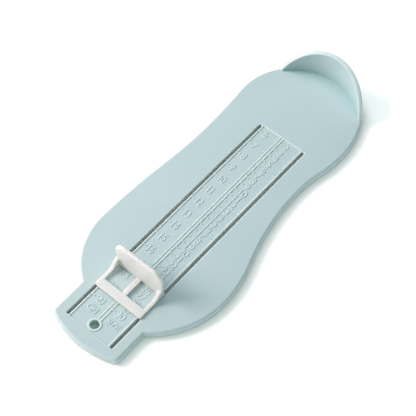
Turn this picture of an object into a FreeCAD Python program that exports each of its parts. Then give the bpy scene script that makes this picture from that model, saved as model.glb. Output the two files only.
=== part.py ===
import FreeCAD, Part
import math
import os
import re
import Sketcher

# Foot measuring device: a moulded foot plate with a heel cup wall and a ruler panel,
# and a toe slider that runs along the plate in two slots.
#
# Frame: +Z up, +Y from the tab (toe end) to the heel, +X towards the arch side.
# Origin: middle of the footprint, on the surface that the device stands on.
# All lengths are millimetres.

SIZES = [
    # the plate as a whole
    ("overall_length", 224.8),
    ("plate_thickness", 5.0),
    ("shell_wall", 2.0),
    ("top_edge_radius", 1.4),
    # the straight tab at the toe end
    ("tab_half_width", 22.8),
    ("tab_end_bow", 4.9),
    ("tab_corner_radius", 2.8),
    ("shoulder_radius", 1.0),
    # outline on the arch side (+X): widths from the middle
    ("arch_shoulder_station", 25.4),
    ("arch_ball_station", 66.9),
    ("arch_ball_share", 0.33),
    ("arch_waist_width", 29.6),
    ("arch_waist_setback", 79.4),
    ("arch_waist_share", 0.5),
    # outline on the outer side (-X)
    ("outer_shoulder_station", 26.9),
    ("outer_ball_station", 64.4),
    ("outer_ball_share", 0.62),
    ("outer_waist_width", 39.2),
    ("outer_waist_setback", 81.4),
    ("outer_waist_share", 0.86),
    # the widest place, equal on both sides
    ("ball_half_width", 43.3),
    # the round heel, which is flatter on the arch side
    ("heel_radius", 38.5),
    ("heel_axis_offset", 3.0),
    ("heel_flat_tuck", 1.7),
    ("heel_flat_drop", 3.9),
    ("heel_flat_angle", 37.0),
    ("heel_flat_blend", 12.0),
    # the wall that the heel is set against
    ("heel_wall_thickness", 2.5),
    ("heel_wall_height", 21.0),
    ("heel_wall_half_angle", 52.3),
    ("heel_wall_tail_angle", 4.0),
    ("heel_rim_radius", 0.7),
    # the two slots that guide the slider
    ("slot_inset", 8.4),
    ("slot_length", 161.1),
    ("slot_width", 1.8),
    ("slot_spacing", 30.8),
    ("slot_bevel", 0.3),
    # the sunk ruler panel between the slots
    ("panel_margin", 1.1),
    ("panel_depth", 0.45),
    ("rib_width", 2.6),
    ("groove_width", 1.1),
    ("groove_depth", 0.35),
    ("relief_bevel", 0.25),
    # the hole to hang the device by
    ("hole_inset", 4.5),
    ("hole_radius", 2.6),
    ("hole_collar", 1.3),
    # graduations of the two scales
    ("scale_start", 17.15),
    ("length_pitch", 10.0),
    ("size_pitch", 5.0),
    ("mark_width", 0.45),
    ("mark_height", 0.3),
    ("edge_mark_length", 1.8),
    ("length_mark_length", 2.2),
    ("size_mark_length", 1.6),
    # the toe slider
    ("slider_position", 21.6),
    ("slider_length", 19.4),
    ("slider_lift", 0.2),
    ("frame_thickness", 1.3),
    ("frame_corner_radius", 1.0),
    ("front_bar_width", 5.4),
    ("centre_bar_width", 3.0),
    ("rail_width", 2.1),
    ("rail_margin", 0.8),
    ("toe_wall_thickness", 2.2),
    ("toe_wall_height", 20.4),
    ("toe_wall_corner", 6.5),
    ("gusset_foot", 7.6),
    ("gusset_run", 9.2),
    ("gusset_height", 7.0),
    ("wall_edge_radius", 0.8),
    ("bar_edge_bevel", 0.3),
    # the runners under the slider and the barbs that hold it in the slots
    ("runner_clearance", 0.15),
    ("runner_end_inset", 0.4),
    ("barb_length", 9.0),
    ("barb_reach", 0.8),
    ("barb_clearance", 0.2),
    ("barb_thickness", 1.2),
]

ALIAS = re.compile(r"\b(" + "|".join(alias for alias, _ in SIZES) + r")\b")

doc = FreeCAD.newDocument("foot_measuring_device")
sheet = doc.addObject("Spreadsheet::Sheet", "Sizes")
for row, (alias, number) in enumerate(SIZES, start=1):
    sheet.set("A%d" % row, alias)
    sheet.set("B%d" % row, str(number))
    sheet.setAlias("B%d" % row, alias)
doc.recompute()


def measure(expression):
    """The value that an expression of the sheet has now."""
    return float(sheet.evalExpression(expression))


def bind(thing, path, expression):
    """Ties a property to an expression whose names are aliases of the sheet."""
    thing.setExpression(path, ALIAS.sub(lambda word: "Sizes." + word.group(), expression))


# Places along the length, measured from the middle of the footprint.
TAB_END = "( 0 - overall_length / 2 )"
HEEL_AXIS_X = "( 0 - heel_axis_offset )"
HEEL_AXIS_Y = "( overall_length / 2 - heel_radius )"
SLOT_START = "( slot_inset - overall_length / 2 )"
SLOT_END = "( slot_inset + slot_length - overall_length / 2 )"
SKIN_UNDERSIDE = "( plate_thickness - shell_wall )"
PANEL_FLOOR = "( plate_thickness - panel_depth )"
HOLE_Y = "( slot_inset + hole_inset - overall_length / 2 )"
SCALE_START = "( slot_inset + scale_start - overall_length / 2 )"

# Widths that follow the slots.
PANEL_SIDE = "( ( slot_spacing - slot_width ) / 2 - panel_margin )"
SLIDER_SIDE = "( slot_spacing / 2 + rail_margin )"


# ---------------------------------------------------------------- building helpers

def point_of(x, y):
    return FreeCAD.Vector(measure(x), measure(y), 0)


def add_body(label):
    body = doc.addObject("PartDesign::Body", label)
    body.Label = label
    return body


def own_plane(body, role):
    return [item for item in body.Origin.OriginFeatures if item.Role == role][0]


def add_sketch(body, name, role, offset=None):
    """A sketch on one of the body's own planes, moved along that plane's normal."""
    sketch = body.newObject("Sketcher::SketchObject", name)
    sketch.AttachmentSupport = [(own_plane(body, role), "")]
    sketch.MapMode = "FlatFace"
    if offset:
        bind(sketch, "AttachmentOffset.Base.z", offset)
    return sketch


def fix(sketch, direction, geometry, point, expression):
    """Dimensions a point of the sketch from the sketch's origin."""
    rule = Sketcher.Constraint(direction, -1, 1, geometry, point, measure(expression))
    index = sketch.addConstraint(rule)
    bind(sketch, "Constraints[%d]" % index, expression)


def fix_point(sketch, geometry, point, x, y):
    fix(sketch, "DistanceX", geometry, point, x)
    fix(sketch, "DistanceY", geometry, point, y)


def fix_radius(sketch, geometry, expression):
    index = sketch.addConstraint(Sketcher.Constraint("Radius", geometry, measure(expression)))
    bind(sketch, "Constraints[%d]" % index, expression)


def add_polygon(sketch, corners):
    """A closed outline of straight lines, each corner dimensioned."""
    points = [FreeCAD.Vector(measure(x), measure(y), 0) for x, y in corners]
    lines = []
    for index, start in enumerate(points):
        end = points[(index + 1) % len(points)]
        lines.append(sketch.addGeometry(Part.LineSegment(start, end), False))
    for index, line in enumerate(lines):
        following = lines[(index + 1) % len(lines)]
        sketch.addConstraint(Sketcher.Constraint("Coincident", line, 2, following, 1))
    for line, (x, y) in zip(lines, corners):
        fix_point(sketch, line, 1, x, y)
    return lines


def add_chain(sketch, corners):
    """Straight lines from corner to corner; the two free ends are left to the caller."""
    points = [point_of(x, y) for x, y in corners]
    lines = [sketch.addGeometry(Part.LineSegment(start, end), False)
             for start, end in zip(points, points[1:])]
    for line, following in zip(lines, lines[1:]):
        sketch.addConstraint(Sketcher.Constraint("Coincident", line, 2, following, 1))
    for line, (x, y) in zip(lines[1:], corners[1:-1]):
        fix_point(sketch, line, 1, x, y)
    return lines


def add_rectangle(sketch, left, right, low, high):
    add_polygon(sketch, [(left, low), (right, low), (right, high), (left, high)])


def add_circle(sketch, x, y, radius):
    centre = FreeCAD.Vector(measure(x), measure(y), 0)
    circle = Part.Circle(centre, FreeCAD.Vector(0, 0, 1), measure(radius))
    geometry = sketch.addGeometry(circle, False)
    fix_point(sketch, geometry, 3, x, y)
    fix_radius(sketch, geometry, radius)


def arc_through(centre, start, end):
    """An arc about a centre, counterclockwise from one point to the other."""
    radius = math.hypot(start.x - centre.x, start.y - centre.y)
    first = math.atan2(start.y - centre.y, start.x - centre.x)
    last = math.atan2(end.y - centre.y, end.x - centre.x)
    if last < first:
        last += 2 * math.pi
    circle = Part.Circle(centre, FreeCAD.Vector(0, 0, 1), radius)
    return Part.ArcOfCircle(circle, first, last)


def extrude(body, kind, name, sketch, length, reverse=False, both_sides=False):
    """A Pad or Pocket whose length is tied to the sheet."""
    feature = body.newObject(kind, name)
    feature.Profile = sketch
    bind(feature, "Length", length)
    feature.Reversed = reverse
    feature.Midplane = both_sides
    doc.recompute()
    return feature


def pad(body, name, sketch, length, **options):
    return extrude(body, "PartDesign::Pad", name, sketch, length, **options)


def pocket(body, name, sketch, length, **options):
    """A Pocket that has to take material away."""
    before = body.Shape.Volume
    feature = extrude(body, "PartDesign::Pocket", name, sketch, length, **options)
    if body.Shape.Volume > before - 1e-3:
        raise RuntimeError(name + " cuts nothing")
    return feature


def row_of(body, name, feature, direction, pitch, count):
    """Copies of a feature in a row, with the pitch and the count from the sheet."""
    pattern = body.newObject("PartDesign::LinearPattern", name)
    pattern.Originals = [feature]
    pattern.Direction = direction
    pattern.Length = measure("%s * ( %s - 1 )" % (pitch, count))
    bind(pattern, "Length", "%s * ( %s - 1 )" % (pitch, count))
    bind(pattern, "Occurrences", count)
    body.Tip = pattern
    doc.recompute()
    return pattern


def mirrored(body, name, feature):
    """A copy of a feature on the other side of the middle plane."""
    mirror = body.newObject("PartDesign::Mirrored", name)
    mirror.Originals = [feature]
    mirror.MirrorPlane = (own_plane(body, "YZ_Plane"), [""])
    body.Tip = mirror
    doc.recompute()
    return mirror


def join(body, name, other):
    """Makes another body one piece with this one."""
    joined = body.newObject("PartDesign::Boolean", name)
    joined.Type = "Fuse"
    joined.setObjects([other])
    body.Tip = joined
    doc.recompute()


def dress_edges(body, kind, name, base, wanted, path, size):
    """A fillet or a chamfer of the edges that the test picks out."""
    edges = ["Edge%d" % number for number, edge in enumerate(base.Shape.Edges, start=1)
             if wanted(edge)]
    if not edges:
        raise RuntimeError(name + " finds no edge")
    dressing = body.newObject(kind, name)
    dressing.Base = (base, edges)
    bind(dressing, path, size)
    doc.recompute()
    return dressing


def round_edges(body, name, base, wanted, radius):
    return dress_edges(body, "PartDesign::Fillet", name, base, wanted, "Radius", radius)


def bevel_edges(body, name, base, wanted, size):
    return dress_edges(body, "PartDesign::Chamfer", name, base, wanted, "Size", size)


def is_level(edge, height):
    box = edge.BoundBox
    return abs(box.ZMin - height) < 1e-4 and abs(box.ZMax - height) < 1e-4


def is_upright(edge):
    box = edge.BoundBox
    return box.XLength < 1e-4 and box.YLength < 1e-4 and box.ZLength > 1e-4


# ---------------------------------------------------------------- outline of the foot

def from_tab(name):
    """A place along the length that the sheet gives from the tab end."""
    return "( %s - overall_length / 2 )" % name


def from_heel(name):
    """A place along the length that the sheet gives from the heel end."""
    return "( overall_length / 2 - %s )" % name


def between(first, second, share):
    return "( %s + ( %s - %s ) * %s )" % (first, second, first, share)


def side_stations(side):
    """Places along one side, from the shoulder to the round heel, as expressions.

    The ball, the waist and the widest place of the heel are where the side runs straight
    along the length. Halfway places lie on the line between two of them, where a bulge
    turns into a hollow.
    """
    name = "arch" if side > 0 else "outer"
    sign = "" if side > 0 else "0 - "
    shoulder = (sign + "tab_half_width", from_tab(name + "_shoulder_station"))
    ball = (sign + "ball_half_width", from_tab(name + "_ball_station"))
    waist = (sign + name + "_waist_width", from_heel(name + "_waist_setback"))
    heel = ("( 0 - heel_axis_offset - heel_radius )", HEEL_AXIS_Y)
    if side > 0:
        heel = ("( heel_radius - heel_axis_offset - heel_flat_tuck )",
                "( %s - heel_flat_drop )" % HEEL_AXIS_Y)
    after_ball = [between("( %s )" % ball[axis], "( %s )" % waist[axis], name + "_ball_share")
                  for axis in (0, 1)]
    after_waist = [between("( %s )" % waist[axis], "( %s )" % heel[axis],
                           name + "_waist_share") for axis in (0, 1)]
    places = [shoulder, ball, after_ball, waist, after_waist, heel]
    level_with = [1, 1, 3, 3, 5]
    if side > 0:
        angle = "heel_flat_angle * 1 deg"
        places.append(("( %s + heel_radius * cos( %s ) )" % (HEEL_AXIS_X, angle),
                       "( %s + heel_radius * sin( %s ) )" % (HEEL_AXIS_Y, angle)))
        level_with.append(5)
    return places, level_with


def level_arc(level, other):
    """An arc between two points whose centre is level with the first of them."""
    run = level.x - other.x
    reach = (run ** 2 + (level.y - other.y) ** 2) / (2 * run)
    centre = FreeCAD.Vector(level.x - reach, level.y, 0)
    upwards = (other.y > level.y) == (run > 0)
    return (centre, level, other, upwards)


def add_side(sketch, side):
    """Draws the arcs of one side and gives the free ends of the first and the last."""
    places, level_with = side_stations(side)
    points = [point_of(x, y) for x, y in places]
    arcs = []
    for index, level in enumerate(level_with):
        other = index if level != index else index + 1
        centre, near, far, upwards = level_arc(points[level], points[other])
        first, last = (near, far) if upwards else (far, near)
        arc = sketch.addGeometry(arc_through(centre, first, last), False)
        begins = 1 if (first == points[index]) else 2
        arcs.append((arc, begins, 3 - begins))
        level_end = begins if level == index else 3 - begins
        rule = Sketcher.Constraint("Horizontal", arc, 3, arc, level_end)
        sketch.addConstraint(rule)
    for (before, _, end), (after, start, _) in zip(arcs, arcs[1:]):
        sketch.addConstraint(Sketcher.Constraint("Coincident", before, end, after, start))
    for (arc, begins, _), (x, y) in zip(arcs, places):
        fix_point(sketch, arc, begins, x, y)
    return (arcs[0][0], arcs[0][1]), (arcs[-1][0], arcs[-1][2]), places[-1]


def draw_foot_outline(sketch):
    """The closed outline: both sides, the round heel and the tab with its bowed end."""
    arch_first, arch_last, arch_joint = add_side(sketch, 1)
    outer_first, outer_last, outer_joint = add_side(sketch, -1)

    centre = point_of(HEEL_AXIS_X, HEEL_AXIS_Y)
    back = sketch.addGeometry(
        arc_through(centre, point_of(*arch_joint), point_of(*outer_joint)), False)
    sketch.addConstraint(Sketcher.Constraint("Coincident", back, 1, *arch_last))
    sketch.addConstraint(Sketcher.Constraint("Coincident", back, 2, *outer_last))
    fix_point(sketch, back, 3, HEEL_AXIS_X, HEEL_AXIS_Y)
    fix(sketch, "DistanceX", back, 1, arch_joint[0])
    fix(sketch, "DistanceY", back, 1, arch_joint[1])
    fix(sketch, "DistanceY", back, 2, outer_joint[1])

    corner_y = "( tab_end_bow - overall_length / 2 )"
    arch_corner = point_of("tab_half_width", corner_y)
    outer_corner = point_of("0 - tab_half_width", corner_y)
    tab_sides = []
    for corner, first in ((arch_corner, arch_first), (outer_corner, outer_first)):
        shoulder = sketch.getPoint(*first)
        line = sketch.addGeometry(Part.LineSegment(corner, shoulder), False)
        sketch.addConstraint(Sketcher.Constraint("Coincident", line, 2, *first))
        sketch.addConstraint(Sketcher.Constraint("Vertical", line))
        tab_sides.append(line)
    bow_radius = "( ( tab_half_width ^ 2 + tab_end_bow ^ 2 ) / ( 2 * tab_end_bow ) )"
    end_centre = point_of("0", "( %s + %s )" % (TAB_END, bow_radius))
    tab_end = sketch.addGeometry(arc_through(end_centre, outer_corner, arch_corner), False)
    sketch.addConstraint(Sketcher.Constraint("Coincident", tab_end, 1, tab_sides[1], 1))
    sketch.addConstraint(Sketcher.Constraint("Coincident", tab_end, 2, tab_sides[0], 1))
    fix(sketch, "DistanceY", tab_sides[0], 1, corner_y)
    fix(sketch, "DistanceY", tab_sides[1], 1, corner_y)
    fix_radius(sketch, tab_end, bow_radius)
    doc.recompute()


def add_slot(sketch, x, low, high, radius):
    """A slot along the length with round ends, given by its outer ends."""
    first = "( %s + %s )" % (low, radius)
    last = "( %s - %s )" % (high, radius)
    reach = measure(radius)
    left = FreeCAD.Vector(-reach, 0, 0)
    ends = []
    for y, start in ((first, left), (last, -left)):
        centre = point_of(x, y)
        arc = arc_through(centre, centre + start, centre - start)
        geometry = sketch.addGeometry(arc, False)
        fix_point(sketch, geometry, 3, x, y)
        fix_radius(sketch, geometry, radius)
        for point in (1, 2):
            sketch.addConstraint(Sketcher.Constraint("Horizontal", geometry, 3, geometry, point))
        ends.append(geometry)
    for begins, ends_at in (((ends[0], 2), (ends[1], 1)), ((ends[1], 2), (ends[0], 1))):
        line = Part.LineSegment(sketch.getPoint(*begins), sketch.getPoint(*ends_at))
        geometry = sketch.addGeometry(line, False)
        sketch.addConstraint(Sketcher.Constraint("Coincident", geometry, 1, *begins))
        sketch.addConstraint(Sketcher.Constraint("Coincident", geometry, 2, *ends_at))


# ---------------------------------------------------------------- foot plate

def stands_at(places):
    """A test for the upright edges that stand at any of the given places."""
    spots = [point_of(x, y) for x, y in places]

    def wanted(edge):
        if not is_upright(edge):
            return False
        foot = edge.Vertexes[0].Point
        return any(math.hypot(foot.x - spot.x, foot.y - spot.y) < 1e-3 for spot in spots)
    return wanted


def build_shell(body):
    """The plate: a thin skin with a skirt all round, rounded along its top edge."""
    outline = add_sketch(body, "PlateOutline", "XY_Plane")
    draw_foot_outline(outline)
    plate = pad(body, "Plate", outline, "plate_thickness")

    corner_y = "( tab_end_bow - overall_length / 2 )"
    tab_corners = [("tab_half_width", corner_y), ("0 - tab_half_width", corner_y)]
    corners = round_edges(body, "TabCorners", plate, stands_at(tab_corners),
                          "tab_corner_radius")
    shoulders = [side_stations(side)[0][0] for side in (1, -1)]
    shoulder = round_edges(body, "Shoulders", corners, stands_at(shoulders),
                           "shoulder_radius")
    flat_end = side_stations(1)[0][-1]
    blend = round_edges(body, "HeelBlend", shoulder, stands_at([flat_end]),
                        "heel_flat_blend")

    underside = ["Face%d" % number for number, face in enumerate(blend.Shape.Faces, start=1)
                 if is_level(face, 0)]
    shell = body.newObject("PartDesign::Thickness", "Shell")
    shell.Base = (blend, underside)
    shell.Reversed = True
    shell.Mode = "Skin"
    shell.Join = "Intersection"
    bind(shell, "Value", "shell_wall")
    doc.recompute()

    height = measure("plate_thickness")
    round_edges(body, "TopEdge", shell, lambda edge: is_level(edge, height),
                "top_edge_radius")


# The planes between which material is cut off over the rim, as shares of the heel's radius.
OVER_RIM_SHARES = ("0.5", "1.1")


def draw_over_rim(wall, share):
    """The space over the wall's rim, in an upright plane at a share of the heel's radius.

    Its lower side is an arc, which shrinks with the share. All such arcs together make a
    cone from the heel's axis, so that the rim slopes down to the inside.
    """
    half_chord = "( heel_radius * tan( heel_wall_half_angle * 1 deg ) )"
    dome_radius = "( ( %s ^ 2 + heel_wall_height ^ 2 ) / ( 2 * heel_wall_height ) )" % half_chord
    radius = "( %s * %s )" % (share, dome_radius)
    centre_z = "( plate_thickness + %s * heel_wall_height - %s )" % (share, radius)
    plane_y = "( %s + %s * heel_radius )" % (HEEL_AXIS_Y, share)
    sketch = add_sketch(wall, "OverRim", "XZ_Plane", "( 0 - %s )" % plane_y)
    centre = point_of(HEEL_AXIS_X, centre_z)
    side = FreeCAD.Vector(measure(radius), 0, 0)
    arc = sketch.addGeometry(arc_through(centre, centre + side, centre - side), False)
    fix_point(sketch, arc, 3, HEEL_AXIS_X, centre_z)
    fix_radius(sketch, arc, radius)
    for point in (1, 2):
        sketch.addConstraint(Sketcher.Constraint("Horizontal", arc, 3, arc, point))
    left, far_left = ["( %s - %s * %s )" % (HEEL_AXIS_X, radius, reach) for reach in (1, 2)]
    right, far_right = ["( %s + %s * %s )" % (HEEL_AXIS_X, radius, reach) for reach in (1, 2)]
    high = "( plate_thickness + %s )" % radius
    lines = add_chain(sketch, [(left, centre_z), (far_left, centre_z), (far_left, high),
                               (far_right, high), (far_right, centre_z), (right, centre_z)])
    sketch.addConstraint(Sketcher.Constraint("Coincident", lines[0], 1, arc, 2))
    sketch.addConstraint(Sketcher.Constraint("Coincident", lines[-1], 2, arc, 1))
    return sketch


def build_heel_wall(body):
    """A curved wall on the round heel, as high as a dome when seen from the toe end.

    It is a body of its own, which is joined to the plate, so that its rim is rounded over
    its whole length before both ends dip into the plate.
    """
    wall = add_body("heel_wall")
    inner_radius = "( heel_radius - heel_wall_thickness )"
    reach_angle = "( heel_wall_half_angle + heel_wall_tail_angle ) * 1 deg"
    plan = add_sketch(wall, "HeelWallPlan", "XY_Plane", SKIN_UNDERSIDE)
    centre = point_of(HEEL_AXIS_X, HEEL_AXIS_Y)
    arcs = []
    for radius in ("heel_radius", inner_radius):
        right = "( %s + %s * sin( %s ) )" % (HEEL_AXIS_X, radius, reach_angle)
        left = "( %s - %s * sin( %s ) )" % (HEEL_AXIS_X, radius, reach_angle)
        end_y = "( %s + %s * cos( %s ) )" % (HEEL_AXIS_Y, radius, reach_angle)
        arc = arc_through(centre, point_of(right, end_y), point_of(left, end_y))
        geometry = plan.addGeometry(arc, False)
        fix_point(plan, geometry, 3, HEEL_AXIS_X, HEEL_AXIS_Y)
        fix_radius(plan, geometry, radius)
        fix(plan, "DistanceX", geometry, 1, right)
        fix(plan, "DistanceX", geometry, 2, left)
        arcs.append(geometry)
    for point in (1, 2):
        line = Part.LineSegment(plan.getPoint(arcs[0], point), plan.getPoint(arcs[1], point))
        geometry = plan.addGeometry(line, False)
        plan.addConstraint(Sketcher.Constraint("Coincident", geometry, 1, arcs[0], point))
        plan.addConstraint(Sketcher.Constraint("Coincident", geometry, 2, arcs[1], point))
    pad(wall, "HeelWall", plan, "( plate_thickness + heel_wall_height )")

    near, far = (draw_over_rim(wall, share) for share in OVER_RIM_SHARES)
    rim = wall.newObject("PartDesign::SubtractiveLoft", "RimCut")
    rim.Profile = near
    rim.Sections = [far]
    rim.Ruled = True
    doc.recompute()

    def on_rim(edge):
        """The two long edges along the top of the wall."""
        box = edge.BoundBox
        return box.XLength > measure("heel_radius") and box.ZLength > measure(
            "heel_wall_height") / 2
    round_edges(wall, "RimEdges", rim, on_rim, "heel_rim_radius")

    join(body, "WallOnPlate", wall)


def build_panel(body):
    """The sunk panel between the slots, with its centre rib and the hole's raised collar.

    A groove makes two ridges of the rib, which run into the collar. What stands at the
    plate's height is bevelled all round.
    """
    area = add_sketch(body, "PanelArea", "XY_Plane", "plate_thickness")
    add_rectangle(area, "( 0 - %s )" % PANEL_SIDE, PANEL_SIDE, SLOT_START, SLOT_END)
    pocket(body, "Panel", area, "panel_depth")

    rib = add_sketch(body, "RibPlan", "XY_Plane", PANEL_FLOOR)
    add_rectangle(rib, "0 - rib_width / 2", "rib_width / 2", HOLE_Y, SLOT_END)
    pad(body, "Rib", rib, "panel_depth")

    collar_radius = "( hole_radius + hole_collar )"
    collar = add_sketch(body, "CollarPlan", "XY_Plane", PANEL_FLOOR)
    add_circle(collar, "0", HOLE_Y, collar_radius)
    pad(body, "HoleCollar", collar, "panel_depth")

    groove = add_sketch(body, "GroovePlan", "XY_Plane", "plate_thickness")
    add_slot(groove, "0", "( %s + %s )" % (HOLE_Y, collar_radius), SLOT_END,
             "( groove_width / 2 )")
    pocket(body, "RibGroove", groove, "groove_depth")

    boss = add_sketch(body, "BossPlan", "XY_Plane")
    add_circle(boss, "0", HOLE_Y, "( hole_radius + shell_wall )")
    pad(body, "HoleBoss", boss, SKIN_UNDERSIDE)

    opening = add_sketch(body, "HolePlan", "XY_Plane", "plate_thickness")
    add_circle(opening, "0", HOLE_Y, "hole_radius")
    hole = pocket(body, "Hole", opening, "plate_thickness")

    height = measure("plate_thickness")
    side = measure(PANEL_SIDE) + 1e-3
    low = measure(SLOT_START) - 1e-3
    high = measure(SLOT_END) + 1e-3

    def on_panel(edge):
        box = edge.BoundBox
        inside = box.XMin > -side and box.XMax < side and box.YMin > low and box.YMax < high
        return inside and is_level(edge, height)
    bevel_edges(body, "ReliefBevels", hole, on_panel, "relief_bevel")


def build_slots(body):
    """The two slots, bevelled along the top so that the runners slip in."""
    plan = add_sketch(body, "SlotPlan", "XY_Plane", "plate_thickness")
    for x in ("slot_spacing / 2", "( 0 - slot_spacing / 2 )"):
        add_slot(plan, x, SLOT_START, SLOT_END, "slot_width / 2")
    slots = pocket(body, "Slots", plan, "plate_thickness")

    height = measure("plate_thickness")
    near = measure("( slot_spacing - slot_width ) / 2") - 1e-3
    far = measure("( slot_spacing + slot_width ) / 2") + 1e-3

    def on_slot(edge):
        box = edge.BoundBox
        right = box.XMin > near and box.XMax < far
        left = box.XMax < -near and box.XMin > -far
        return is_level(edge, height) and (right or left)
    bevel_edges(body, "SlotBevels", slots, on_slot, "slot_bevel")


def build_marks(body):
    """Raised graduations on the panel: lengths on the left, sizes on the right.

    Each starts inside the rib or the panel's wall, behind the bevel.
    """
    rib_root = "( rib_width / 2 - relief_bevel )"
    wall_root = "( %s + relief_bevel )" % PANEL_SIDE
    rows = [
        ("Length", "length_pitch",
         [("( 0 - %s )" % wall_root, "( edge_mark_length - %s )" % PANEL_SIDE),
          ("( 0 - rib_width / 2 - length_mark_length )", "( 0 - %s )" % rib_root)]),
        ("Size", "size_pitch",
         [(rib_root, "( rib_width / 2 + size_mark_length )"),
          ("( %s - edge_mark_length )" % PANEL_SIDE, wall_root)]),
    ]
    low = "( %s - mark_width / 2 )" % SCALE_START
    high = "( %s + mark_width / 2 )" % SCALE_START
    for name, pitch, spans in rows:
        sketch = add_sketch(body, name + "MarkPlan", "XY_Plane", PANEL_FLOOR)
        for left, right in spans:
            add_rectangle(sketch, left, right, low, high)
        first = pad(body, name + "Mark", sketch, "mark_height")
        count = "( floor( ( slot_length - scale_start ) / %s ) + 1 )" % pitch
        row_of(body, name + "Marks", first, (sketch, ["V_Axis"]), pitch, count)


# ---------------------------------------------------------------- toe slider
# Drawn in its own frame: the middle of its front edge, on the plate's top face.

FRAME_TOP = "( slider_lift + frame_thickness )"
WALL_FRONT = "( slider_length - toe_wall_thickness )"
RUNNER_RADIUS = "( slot_width / 2 - runner_clearance )"
RUNNER_X = "( slot_spacing / 2 )"
SKIN_DEPTH = "( 0 - shell_wall )"


def build_toe_wall(body):
    """The upright wall that the toes touch, with round top corners and soft edges."""
    profile = add_sketch(body, "ToeWallProfile", "XZ_Plane", "( 0 - slider_length )")
    add_rectangle(profile, "( 0 - %s )" % SLIDER_SIDE, SLIDER_SIDE,
                  "slider_lift", "toe_wall_height")
    wall = pad(body, "ToeWall", profile, "toe_wall_thickness")

    top = measure("toe_wall_height")
    foot = measure("slider_lift")

    def at_top_corner(edge):
        box = edge.BoundBox
        return box.XLength < 1e-4 and box.ZLength < 1e-4 and abs(box.ZMin - top) < 1e-4
    corners = round_edges(body, "ToeWallCorners", wall, at_top_corner, "toe_wall_corner")

    def around_wall(edge):
        """The edges of both faces of the wall, apart from those at its foot."""
        box = edge.BoundBox
        return box.YLength < 1e-4 and box.ZMax > foot + 1e-3
    round_edges(body, "ToeWallEdges", corners, around_wall, "wall_edge_radius")


def build_frame(body):
    """The flat frame with a window on each side of its centre bar.

    It is a body of its own, which is joined to the toe wall, so that its edges are bevelled
    before the wall covers some of them.
    """
    frame = add_body("slider_frame")
    plan = add_sketch(frame, "FramePlan", "XY_Plane", "slider_lift")
    add_rectangle(plan, "( 0 - %s )" % SLIDER_SIDE, SLIDER_SIDE, "0", "slider_length")
    plate = pad(frame, "Frame", plan, "frame_thickness")
    places = [(SLIDER_SIDE, "0"), ("( 0 - %s )" % SLIDER_SIDE, "0")]
    corners = round_edges(frame, "FrameCorners", plate, stands_at(places),
                          "frame_corner_radius")
    top = measure(FRAME_TOP)
    length = measure("slider_length")
    bevel_edges(frame, "FrameEdges", corners,
                lambda edge: is_level(edge, top) and edge.BoundBox.YMin < length - 1e-4,
                "bar_edge_bevel")
    join(body, "FrameOnWall", frame)

    windows = add_sketch(body, "WindowPlan", "XY_Plane", FRAME_TOP)
    inner = "( centre_bar_width / 2 )"
    outer = "( %s - rail_width )" % SLIDER_SIDE
    for left, right in ((inner, outer), ("( 0 - %s )" % outer, "( 0 - %s )" % inner)):
        add_rectangle(windows, left, right, "front_bar_width", WALL_FRONT)
    pocket(body, "Windows", windows, "frame_thickness")


def build_gussets(body):
    """A web on each side that sweeps down from the wall to the frame in two arcs."""
    profile = add_sketch(body, "GussetProfile", "YZ_Plane",
                         "( %s - rail_width )" % SLIDER_SIDE)
    foot_y = "( %s - gusset_foot )" % WALL_FRONT
    head_y = "( %s + gusset_run )" % foot_y
    middle_y = between(foot_y, head_y, "0.5")
    middle_z = between(FRAME_TOP, "gusset_height", "0.5")
    foot = point_of(foot_y, FRAME_TOP)
    middle = point_of(middle_y, middle_z)
    head = point_of(head_y, "gusset_height")
    rise = head.y - foot.y
    run = head.x - foot.x
    reach = (run ** 2 + rise ** 2) / (4 * rise)
    hollow_centre = foot + FreeCAD.Vector(0, reach, 0)
    bulge_centre = head - FreeCAD.Vector(0, reach, 0)
    hollow = profile.addGeometry(arc_through(hollow_centre, foot, middle), False)
    bulge = profile.addGeometry(arc_through(bulge_centre, head, middle), False)
    profile.addConstraint(Sketcher.Constraint("Coincident", hollow, 2, bulge, 2))
    profile.addConstraint(Sketcher.Constraint("Vertical", hollow, 3, hollow, 1))
    profile.addConstraint(Sketcher.Constraint("Vertical", bulge, 3, bulge, 1))
    fix_point(profile, hollow, 1, foot_y, FRAME_TOP)
    fix_point(profile, hollow, 2, middle_y, middle_z)
    fix_point(profile, bulge, 1, head_y, "gusset_height")
    lines = add_chain(profile, [(head_y, "gusset_height"), (head_y, "slider_lift"),
                                (foot_y, "slider_lift"), (foot_y, FRAME_TOP)])
    profile.addConstraint(Sketcher.Constraint("Coincident", lines[0], 1, bulge, 1))
    profile.addConstraint(Sketcher.Constraint("Coincident", lines[-1], 2, hollow, 1))
    gusset = pad(body, "Gusset", profile, "rail_width")
    mirrored(body, "Gussets", gusset)


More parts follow.
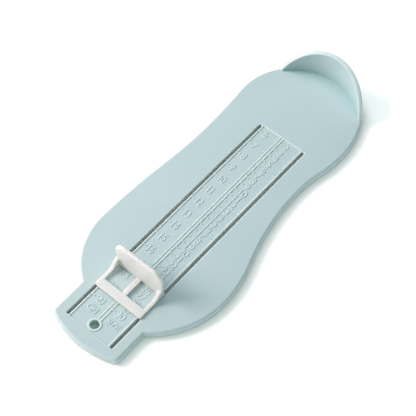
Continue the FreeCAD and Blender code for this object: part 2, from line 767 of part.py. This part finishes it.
def build_runners(body):
    """Runners that fill the slots, each with a barb that hooks under the plate."""
    plan = add_sketch(body, "RunnerPlan", "XY_Plane", "slider_lift")
    for x in (RUNNER_X, "( 0 - %s )" % RUNNER_X):
        add_slot(plan, x, "runner_end_inset", "( slider_length - runner_end_inset )",
                 RUNNER_RADIUS)
    pad(body, "Runners", plan, "( slider_lift + shell_wall )", reverse=True)

    middle = "( slider_length / 2 )"
    barb_end = "( %s + barb_length / 2 )" % middle
    inner = "( %s - %s )" % (RUNNER_X, RUNNER_RADIUS)
    outer = "( %s + %s )" % (RUNNER_X, RUNNER_RADIUS)
    tip = "( %s + barb_reach )" % outer
    shelf = "( %s - barb_clearance )" % SKIN_DEPTH
    bottom = "( %s - barb_thickness )" % shelf
    profile = add_sketch(body, "BarbProfile", "XZ_Plane", "( 0 - %s )" % barb_end)
    add_polygon(profile, [(inner, SKIN_DEPTH), (outer, SKIN_DEPTH), (outer, shelf),
                          (tip, shelf), (tip, "( %s - barb_thickness / 3 )" % shelf),
                          (outer, bottom), (inner, bottom)])
    barb = pad(body, "Barb", profile, "barb_length")
    mirrored(body, "Barbs", barb)


# ---------------------------------------------------------------- the two mouldings

foot_plate = add_body("foot_plate")
build_shell(foot_plate)
build_heel_wall(foot_plate)
build_panel(foot_plate)
build_slots(foot_plate)
build_marks(foot_plate)

toe_slider = add_body("toe_slider")
build_toe_wall(toe_slider)
build_frame(toe_slider)
build_gussets(toe_slider)
build_runners(toe_slider)
bind(toe_slider, "Placement.Base.y", "%s + slider_position" % SLOT_START)
bind(toe_slider, "Placement.Base.z", "plate_thickness")
doc.recompute()

for item in doc.Objects:
    if "Invalid" in item.State or "Error" in item.State:
        raise RuntimeError("%s does not build: %s" % (item.Name, item.State))
    shape = getattr(item, "Shape", None)
    if item.TypeId.startswith("PartDesign::") and (shape.isNull() or not shape.isValid()):
        raise RuntimeError("%s has no valid shape" % item.Name)

nodes = [foot_plate, toe_slider]
for node in nodes:
    if len(node.Shape.Solids) != 1:
        raise RuntimeError("%s is not one solid" % node.Label)

os.makedirs("parts", exist_ok=True)
for node in nodes:
    node.Shape.exportStep("parts/%s.step" % node.Label)
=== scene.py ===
import math

import bpy
from mathutils import Matrix, Vector


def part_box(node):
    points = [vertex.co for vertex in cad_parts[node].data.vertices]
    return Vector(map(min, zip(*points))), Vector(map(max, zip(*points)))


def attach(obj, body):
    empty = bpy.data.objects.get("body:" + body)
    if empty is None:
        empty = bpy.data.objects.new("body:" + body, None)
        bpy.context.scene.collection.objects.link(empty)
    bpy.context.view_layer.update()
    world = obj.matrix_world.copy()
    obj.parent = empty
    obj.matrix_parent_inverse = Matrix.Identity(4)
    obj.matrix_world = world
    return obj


# Foot measuring device in its CAD frame: metres, +Z up, +Y from the tab to the heel wall,
# +X towards the arch side. The two mouldings are the CAD nodes. This script adds the raised
# numbers of the two scales and the words above them, the materials, the studio and the camera.

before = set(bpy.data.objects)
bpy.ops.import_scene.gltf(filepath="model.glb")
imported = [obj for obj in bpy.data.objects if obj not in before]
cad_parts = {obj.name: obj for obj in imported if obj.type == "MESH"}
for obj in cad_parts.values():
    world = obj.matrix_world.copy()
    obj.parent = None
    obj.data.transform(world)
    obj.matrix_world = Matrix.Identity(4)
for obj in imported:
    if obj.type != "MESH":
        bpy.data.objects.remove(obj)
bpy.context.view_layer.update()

MM = 0.001
plate_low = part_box("foot_plate")[0]

# ---------------------------------------------------------------- the ruler panel
# The places of the panel follow the tab's end, as they do in the CAD.

TAB_END = plate_low[1]
SLOT_INSET = 8.4 * MM
SCALE_START = 17.15 * MM
PLATE_TOP = 5.0 * MM
PANEL_DEPTH = 0.45 * MM
PANEL_FLOOR = PLATE_TOP - PANEL_DEPTH
FIRST_MARK = TAB_END + SLOT_INSET + SCALE_START


def add(name, data):
    """A new object in the scene, around this data."""
    piece = bpy.data.objects.new(name, data)
    bpy.context.scene.collection.objects.link(piece)
    return piece


# ---------------------------------------------------------------- shader nodes

OCCLUSION_SAMPLES = 8
NOISE_LOW, NOISE_HIGH = 0.3, 0.7  # most of a noise lies between these
MIX_SHARE, MIX_FIRST, MIX_SECOND = 0, 6, 7  # the inputs of a Mix node that mixes colours
MIX_RESULT = 2  # and its output


def new_material(name):
    """A material with its Principled shader, ready for nodes."""
    material = bpy.data.materials.new(name)
    material.use_nodes = True
    nodes = material.node_tree.nodes
    return material, nodes, material.node_tree.links, nodes["Principled BSDF"]


def noise(nodes, links, place, scale, detail=3.0, roughness=0.55):
    """Noise over the object's own coordinates; scale is in features per metre."""
    texture = nodes.new("ShaderNodeTexNoise")
    texture.inputs["Scale"].default_value = scale
    texture.inputs["Detail"].default_value = detail
    texture.inputs["Roughness"].default_value = roughness
    links.new(place.outputs["Object"], texture.inputs["Vector"])
    return texture.outputs["Fac"]


def occlusion(nodes, reach, only_local=True, inside=False):
    """How open the place is within reach, from 0 to 1.

    Only the piece itself counts where only_local is true. Where inside is true, it looks
    into the piece, and says how thick the piece is.
    """
    node = nodes.new("ShaderNodeAmbientOcclusion")
    node.samples = OCCLUSION_SAMPLES
    node.only_local = only_local
    node.inside = inside
    node.inputs["Distance"].default_value = reach
    return node.outputs["AO"]


def remap(nodes, links, value, low, high, start=NOISE_LOW, end=NOISE_HIGH):
    """The value's range from start to end, spread from low to high and held there."""
    node = nodes.new("ShaderNodeMapRange")
    node.inputs["From Min"].default_value = start
    node.inputs["From Max"].default_value = end
    node.inputs["To Min"].default_value = low
    node.inputs["To Max"].default_value = high
    links.new(value, node.inputs["Value"])
    return node.outputs["Result"]


def calculate(nodes, links, operation, value, amount):
    """A Math node on the value and a fixed amount."""
    node = nodes.new("ShaderNodeMath")
    node.operation = operation
    node.inputs[1].default_value = amount
    links.new(value, node.inputs[0])
    return node.outputs[0]


def scaled(nodes, links, colour, share):
    """The colour times the share that a node gives."""
    node = nodes.new("ShaderNodeVectorMath")
    node.operation = "SCALE"
    node.inputs[0].default_value = colour
    links.new(share, node.inputs["Scale"])
    return node.outputs["Vector"]


def mixed(nodes, links, first, second, share, blend_type="MIX"):
    """Two colours mixed by a share that a node gives. The first may come from a node too."""
    mix = nodes.new("ShaderNodeMix")
    mix.data_type = "RGBA"
    mix.blend_type = blend_type
    if isinstance(first, tuple):
        mix.inputs[MIX_FIRST].default_value = (*first, 1.0)
    else:
        links.new(first, mix.inputs[MIX_FIRST])
    mix.inputs[MIX_SECOND].default_value = (*second, 1.0)
    links.new(share, mix.inputs[MIX_SHARE])
    return mix.outputs[MIX_RESULT]


# ---------------------------------------------------------------- plastics

CLOUD_SCALE = 28.0
GLOSS_SCALE = 160.0
GRAIN_SCALE = 2600.0
GLOSSIER, DULLER = 0.04, 0.05  # how far the roughness strays to each side
THIN_REACH = 0.7 * MM
EDGE_HIGHLIGHT_SHARES = ((0.0, 0.20), (0.40, 0.28), (0.72, 1.0), (1.0, 0.0))  # thickness, share of the painted edge highlight
HOLLOW_SHADE_REACH = 14 * MM
HOLLOW_SHADE_STARTS, HOLLOW_SHADE_FULL = 0.85, 0.35  # how open a place is where the painted hollow shade sets in
BEVEL_SAMPLES = 6
GLOW_DEPTH = 4 * MM
GLOW_REACH = (1.0, 0.9, 0.75)  # red goes furthest through the plastic


def paleness(nodes, links):
    """The share of the painted edge highlight: most of it just behind an edge, none on thick
    plastic.
    """
    ramp = nodes.new("ShaderNodeValToRGB")
    stops = ramp.color_ramp.elements
    while len(stops) < len(EDGE_HIGHLIGHT_SHARES):
        stops.new(0.5)
    for stop, (position, share) in zip(stops, EDGE_HIGHLIGHT_SHARES):
        stop.position = position
        stop.color = (share, share, share, 1.0)
    links.new(occlusion(nodes, THIN_REACH, inside=True), ramp.inputs["Fac"])
    return ramp.outputs["Color"]


def soft_surface(nodes, links, place, soft_edge, grain_height):
    """The normal of a surface with edges that look round and with a fine tool texture."""
    edges = nodes.new("ShaderNodeBevel")
    edges.samples = BEVEL_SAMPLES
    edges.inputs["Radius"].default_value = soft_edge
    bump = nodes.new("ShaderNodeBump")
    bump.inputs["Strength"].default_value = 1.0
    bump.inputs["Distance"].default_value = grain_height
    links.new(noise(nodes, links, place, GRAIN_SCALE, detail=2.0), bump.inputs["Height"])
    links.new(edges.outputs["Normal"], bump.inputs["Normal"])
    return bump.outputs["Normal"]


def moulded_plastic(name, colour, deeper, hollow_shade, edge_highlight, roughness, grain_height, soft_edge,
                    glow_through=0.0):
    """Moulded plastic: faint clouds of pigment, a fine tool texture, uneven gloss.

    Its edges look soft, and carry a painted highlight: a paler colour just behind each edge.
    Hollows carry painted shade: a deeper, stronger colour where little is open around.
    The share glow_through of the light wanders through the plastic.
    """
    material, nodes, links, shader = new_material(name)
    place = nodes.new("ShaderNodeTexCoord")

    clouds = remap(nodes, links, noise(nodes, links, place, CLOUD_SCALE, detail=2.0), 0.0, 1.0)
    tint_highlight_and_shade = mixed(nodes, links, colour, deeper, clouds)
    # painted highlight: the paler edge colour just behind each edge
    tint_highlight_and_shade = mixed(nodes, links, tint_highlight_and_shade, edge_highlight, paleness(nodes, links))
    # painted shade: the hollow colour deepens places that are closed in
    hollow_shade_share = remap(nodes, links, occlusion(nodes, HOLLOW_SHADE_REACH), 0.0, 1.0,
                  start=HOLLOW_SHADE_STARTS, end=HOLLOW_SHADE_FULL)
    tint_highlight_and_shade = mixed(nodes, links, tint_highlight_and_shade, hollow_shade, hollow_shade_share, blend_type="MULTIPLY")
    links.new(tint_highlight_and_shade, shader.inputs["Base Color"])

    gloss = remap(nodes, links, noise(nodes, links, place, GLOSS_SCALE),
                  roughness - GLOSSIER, roughness + DULLER)
    links.new(gloss, shader.inputs["Roughness"])
    links.new(soft_surface(nodes, links, place, soft_edge, grain_height),
              shader.inputs["Normal"])

    shader.inputs["Subsurface Weight"].default_value = glow_through
    shader.inputs["Subsurface Scale"].default_value = GLOW_DEPTH
    shader.inputs["Subsurface Radius"].default_value = GLOW_REACH
    return material


def wear(piece, material):
    """Gives a CAD node this material in each of its slots."""
    for slot in piece.material_slots:
        slot.material = material


# hollow is the colour of the painted shade in hollows
PALE_BLUE = {
    "colour": (0.497, 0.616, 0.644), "deeper": (0.477, 0.600, 0.630),
    "hollow_shade": (0.70, 0.865, 0.825), "roughness": 0.42, "grain_height": 0.006 * MM}

# edge is the colour of the painted highlight just behind edges
plate_plastic = moulded_plastic(
    "pale_blue_plastic", edge_highlight=(0.895, 0.90, 0.865), soft_edge=0.22 * MM, **PALE_BLUE)
number_plastic = moulded_plastic(
    "pale_blue_raised_plastic", edge_highlight=(0.95, 0.98, 0.96), soft_edge=0.40 * MM, **PALE_BLUE)
slider_plastic = moulded_plastic(
    "warm_white_plastic", colour=(0.757, 0.748, 0.735), deeper=(0.742, 0.733, 0.721),
    hollow_shade=(0.96, 0.95, 0.90), edge_highlight=(0.775, 0.765, 0.745), roughness=0.36,
    grain_height=0.004 * MM, soft_edge=0.5 * MM, glow_through=0.5)

wear(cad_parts["foot_plate"], plate_plastic)
wear(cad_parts["toe_slider"], slider_plastic)


# ---------------------------------------------------------------- raised numbers and words

LETTER_RISE = 0.28 * MM
LETTER_SINK = 0.05 * MM
LETTER_BEVEL = 0.12 * MM
BEVEL_STEPS = 1
CURVE_STEPS = 4
DIGIT_SHARE = 0.70  # a digit's height, as a share of the font size
DIGIT_ADVANCE = 0.56  # the way from one digit to the next, as a share of the font size

# For each scale: its numbers, the step from one graduation to the next, where the numbers
# start, how much further right a slim leading 1 and a single digit start, and the digits.
LENGTHS = {"numbers": range(6, 21), "step": 10.0 * MM, "left": -9.95 * MM,
           "slim_shift": 0.0, "single_shift": -0.25 * MM,
           "digits": {"height": 4.5 * MM, "width_share": 0.90, "pitch": 2.55 * MM}}
SIZES = {"numbers": range(2, 31), "step": 5.0 * MM, "left": 4.2 * MM,
         "slim_shift": 0.6 * MM, "single_shift": 0.3 * MM,
         "digits": {"height": 4.15 * MM, "width_share": 1.03, "pitch": 3.0 * MM}}

WORD_MIDDLE = TAB_END + SLOT_INSET + 10.8 * MM
WORD_HEIGHT = 3.5 * MM
WORDS = ({"text": "CM", "left": -10.7 * MM, "width_share": 0.92, "pitch": 2.6 * MM},
         {"text": "SIZE", "left": 3.2 * MM, "width_share": 0.95, "pitch": 2.5 * MM})


def letters(text, left, middle, height, width_share, pitch):
    """Raised text on the panel's floor, with its ink from left on and about middle."""
    curve = bpy.data.curves.new("letters", "FONT")
    size = height / DIGIT_SHARE
    curve.body = text
    curve.size = size
    # A letter's advance grows by half a font size for each 1 that is added here.
    curve.space_character = 1 + 2 * (pitch / width_share / size - DIGIT_ADVANCE)
    curve.extrude = (LETTER_RISE + LETTER_SINK) / 2 - LETTER_BEVEL
    curve.bevel_depth = LETTER_BEVEL
    curve.bevel_resolution = BEVEL_STEPS
    curve.resolution_u = CURVE_STEPS
    piece = add("letters", curve)
    bpy.context.view_layer.update()
    depsgraph = bpy.context.evaluated_depsgraph_get()
    mesh = bpy.data.meshes.new_from_object(piece.evaluated_get(depsgraph))
    bpy.data.objects.remove(piece)
    for vertex in mesh.vertices:
        vertex.co.x *= width_share
    lowest = min(vertex.co.x for vertex in mesh.vertices)
    place = Vector((left - lowest, middle - height / 2,
                    PANEL_FLOOR + (LETTER_RISE - LETTER_SINK) / 2))
    mesh.transform(Matrix.Translation(place))
    return mesh


def merge(meshes, name):
    """One mesh object made of several meshes, where they stand."""
    vertices = []
    faces = []
    for mesh in meshes:
        base = len(vertices)
        vertices.extend(vertex.co.copy() for vertex in mesh.vertices)
        faces.extend([base + index for index in face.vertices] for face in mesh.polygons)
    merged = bpy.data.meshes.new(name)
    merged.from_pydata(vertices, [], faces)
    merged.validate()
    return add(name, merged)


def column(numbers, step, left, slim_shift, single_shift, digits):
    """A number beside each graduation of one scale, the largest nearest to the tab."""
    meshes = []
    for row, number in enumerate(reversed(numbers)):
        text = str(number)
        shift = single_shift if len(text) == 1 else slim_shift if text[0] == "1" else 0.0
        meshes.append(letters(text, left + shift, FIRST_MARK + row * step, **digits))
    return meshes


words = [letters(middle=WORD_MIDDLE, height=WORD_HEIGHT, **word) for word in WORDS]
for name, meshes in (("length_numbers", column(**LENGTHS)), ("size_numbers", column(**SIZES)),
                     ("column_words", words)):
    piece = merge(meshes, name)
    piece.data.materials.append(number_plastic)
    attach(piece, "plate")


# ---------------------------------------------------------------- floor

FLOOR_HALF = 3.0
FLOOR_GRAIN_SCALE = 90.0
FLOOR_ROUGHNESS = (0.86, 0.9)
FLOOR_SPECULAR = 0.2
FLOOR_COLOUR = (0.98, 0.96, 0.96)
# painted contact shadow: the floor's colour where the part covers it
CONTACT_SHADOW_COLOUR = (0.62, 0.615, 0.545)
CONTACT_SHADOW_REACH = 8.0 * MM
FLOOR_GLOW = (0.40, 0.40, 0.40)
GLOW_FALL = 1.8  # how quickly the glow goes where the floor is covered, in the painted contact shadow


def floor():
    """A pale floor with a painted contact shadow: darker where the part covers it.

    Its own faint glow keeps shadows in the open soft; the painted contact shadow dims the glow
    too, and so leaves the slots and the hole dark.
    """
    material, nodes, links, shader = new_material("pale_floor")
    place = nodes.new("ShaderNodeTexCoord")
    grain = noise(nodes, links, place, FLOOR_GRAIN_SCALE)
    links.new(remap(nodes, links, grain, *FLOOR_ROUGHNESS), shader.inputs["Roughness"])
    shader.inputs["Specular IOR Level"].default_value = FLOOR_SPECULAR
    # painted contact shadow: darker, and with less glow, where the part is near
    contact_shadow_openness = occlusion(nodes, CONTACT_SHADOW_REACH, only_local=False)
    links.new(mixed(nodes, links, CONTACT_SHADOW_COLOUR, FLOOR_COLOUR, contact_shadow_openness),
              shader.inputs["Base Color"])
    openness = calculate(nodes, links, "POWER", contact_shadow_openness, GLOW_FALL)
    links.new(scaled(nodes, links, FLOOR_GLOW, openness), shader.inputs["Emission Color"])
    shader.inputs["Emission Strength"].default_value = 1.0
    mesh = bpy.data.meshes.new("floor")
    corners = [(-FLOOR_HALF, -FLOOR_HALF, 0), (FLOOR_HALF, -FLOOR_HALF, 0),
               (FLOOR_HALF, FLOOR_HALF, 0), (-FLOOR_HALF, FLOOR_HALF, 0)]
    mesh.from_pydata(corners, [], [(0, 1, 2, 3)])
    mesh.materials.append(material)
    add("floor", mesh)


floor()


# ---------------------------------------------------------------- light

BACKDROP = (0.9, 0.9, 0.9)

# Azimuth and elevation, how narrow the area is, and its colour. The first is in front of the
# tab, the next two are on the arch side, the fourth is low behind the heel, and the last is
# below, where it lights the underside once the floor is left out.
GLOWS = ((270.0, 35.0, 4.0, (0.80, 0.84, 0.78)),
         (0.0, 35.0, 4.0, (0.34, 0.43, 0.41)),
         (20.0, 60.0, 10.0, (0.54, 0.80, 0.82)),
         (135.0, 5.0, 6.0, (0.46, 0.66, 0.75)),
         (0.0, -90.0, 1.0, (0.45, 0.46, 0.46)))


def heading(azimuth, elevation):
    """The direction towards a place in the studio; azimuth is counted from +X to +Y."""
    level = math.cos(math.radians(elevation))
    return Vector((math.cos(math.radians(azimuth)) * level,
                   math.sin(math.radians(azimuth)) * level,
                   math.sin(math.radians(elevation))))


def face(piece, target, direction, distance):
    """Puts a light or camera that far from the target in a direction, and turns it there."""
    piece.location = target + direction * distance
    piece.rotation_euler = direction.to_track_quat("Z", "Y").to_euler()


def softbox(name, azimuth, elevation, distance, size, power, colour):
    """A square area light that faces the middle of the part."""
    light = bpy.data.lights.new(name, "AREA")
    light.shape = "SQUARE"
    light.size = size
    light.energy = power
    light.color = colour
    face(add(name, light), Vector(), heading(azimuth, elevation), distance)


def surroundings(glows):
    """The studio's walls: soft bright areas, each in its own direction and colour.

    The camera itself sees them as plain as the floor.
    """
    world = bpy.data.worlds.new("studio")
    world.use_nodes = True
    nodes = world.node_tree.nodes
    links = world.node_tree.links
    place = nodes.new("ShaderNodeTexCoord")
    total = None
    for azimuth, elevation, sharpness, colour in glows:
        towards = nodes.new("ShaderNodeVectorMath")
        towards.operation = "DOT_PRODUCT"
        towards.inputs[1].default_value = heading(azimuth, elevation)
        links.new(place.outputs["Generated"], towards.inputs[0])
        front = calculate(nodes, links, "MAXIMUM", towards.outputs["Value"], 0.0)
        fade = calculate(nodes, links, "POWER", front, sharpness)
        glow = scaled(nodes, links, colour, fade)
        if total is None:
            total = glow
            continue
        both = nodes.new("ShaderNodeVectorMath")
        links.new(total, both.inputs[0])
        links.new(glow, both.inputs[1])
        total = both.outputs["Vector"]
    rays = nodes.new("ShaderNodeLightPath")
    seen = mixed(nodes, links, total, BACKDROP, rays.outputs["Is Camera Ray"])
    links.new(seen, nodes["Background"].inputs["Color"])
    bpy.context.scene.world = world


softbox("key", azimuth=205.0, elevation=32.0, distance=1.5, size=0.75, power=23.8,
        colour=(1.0, 0.90, 0.89))
softbox("fill", azimuth=155.0, elevation=55.0, distance=0.52, size=0.3, power=0.62,
        colour=(1.0, 1.0, 1.0))
surroundings(GLOWS)


# ---------------------------------------------------------------- camera

CAMERA_TARGET = Vector((-0.00168, -0.00693, 0.005))
CAMERA_DISTANCE = 0.60997
CAMERA_ELEVATION = 57.385
CAMERA_AZIMUTH = 310.393
CAMERA_LENS = 95.454
SENSOR = 36.0
NEAREST, FURTHEST = 0.01, 20.0


def camera():
    """The camera at the photo's angle, with the photo's square picture."""
    data = bpy.data.cameras.new("camera")
    data.lens = CAMERA_LENS
    data.sensor_width = SENSOR
    data.sensor_height = SENSOR
    data.clip_start = NEAREST
    data.clip_end = FURTHEST
    piece = add("camera", data)
    face(piece, CAMERA_TARGET, heading(CAMERA_AZIMUTH, CAMERA_ELEVATION), CAMERA_DISTANCE)
    bpy.context.scene.camera = piece


camera()
bpy.context.scene.view_settings.view_transform = "Standard"
bpy.context.scene.view_settings.look = "None"
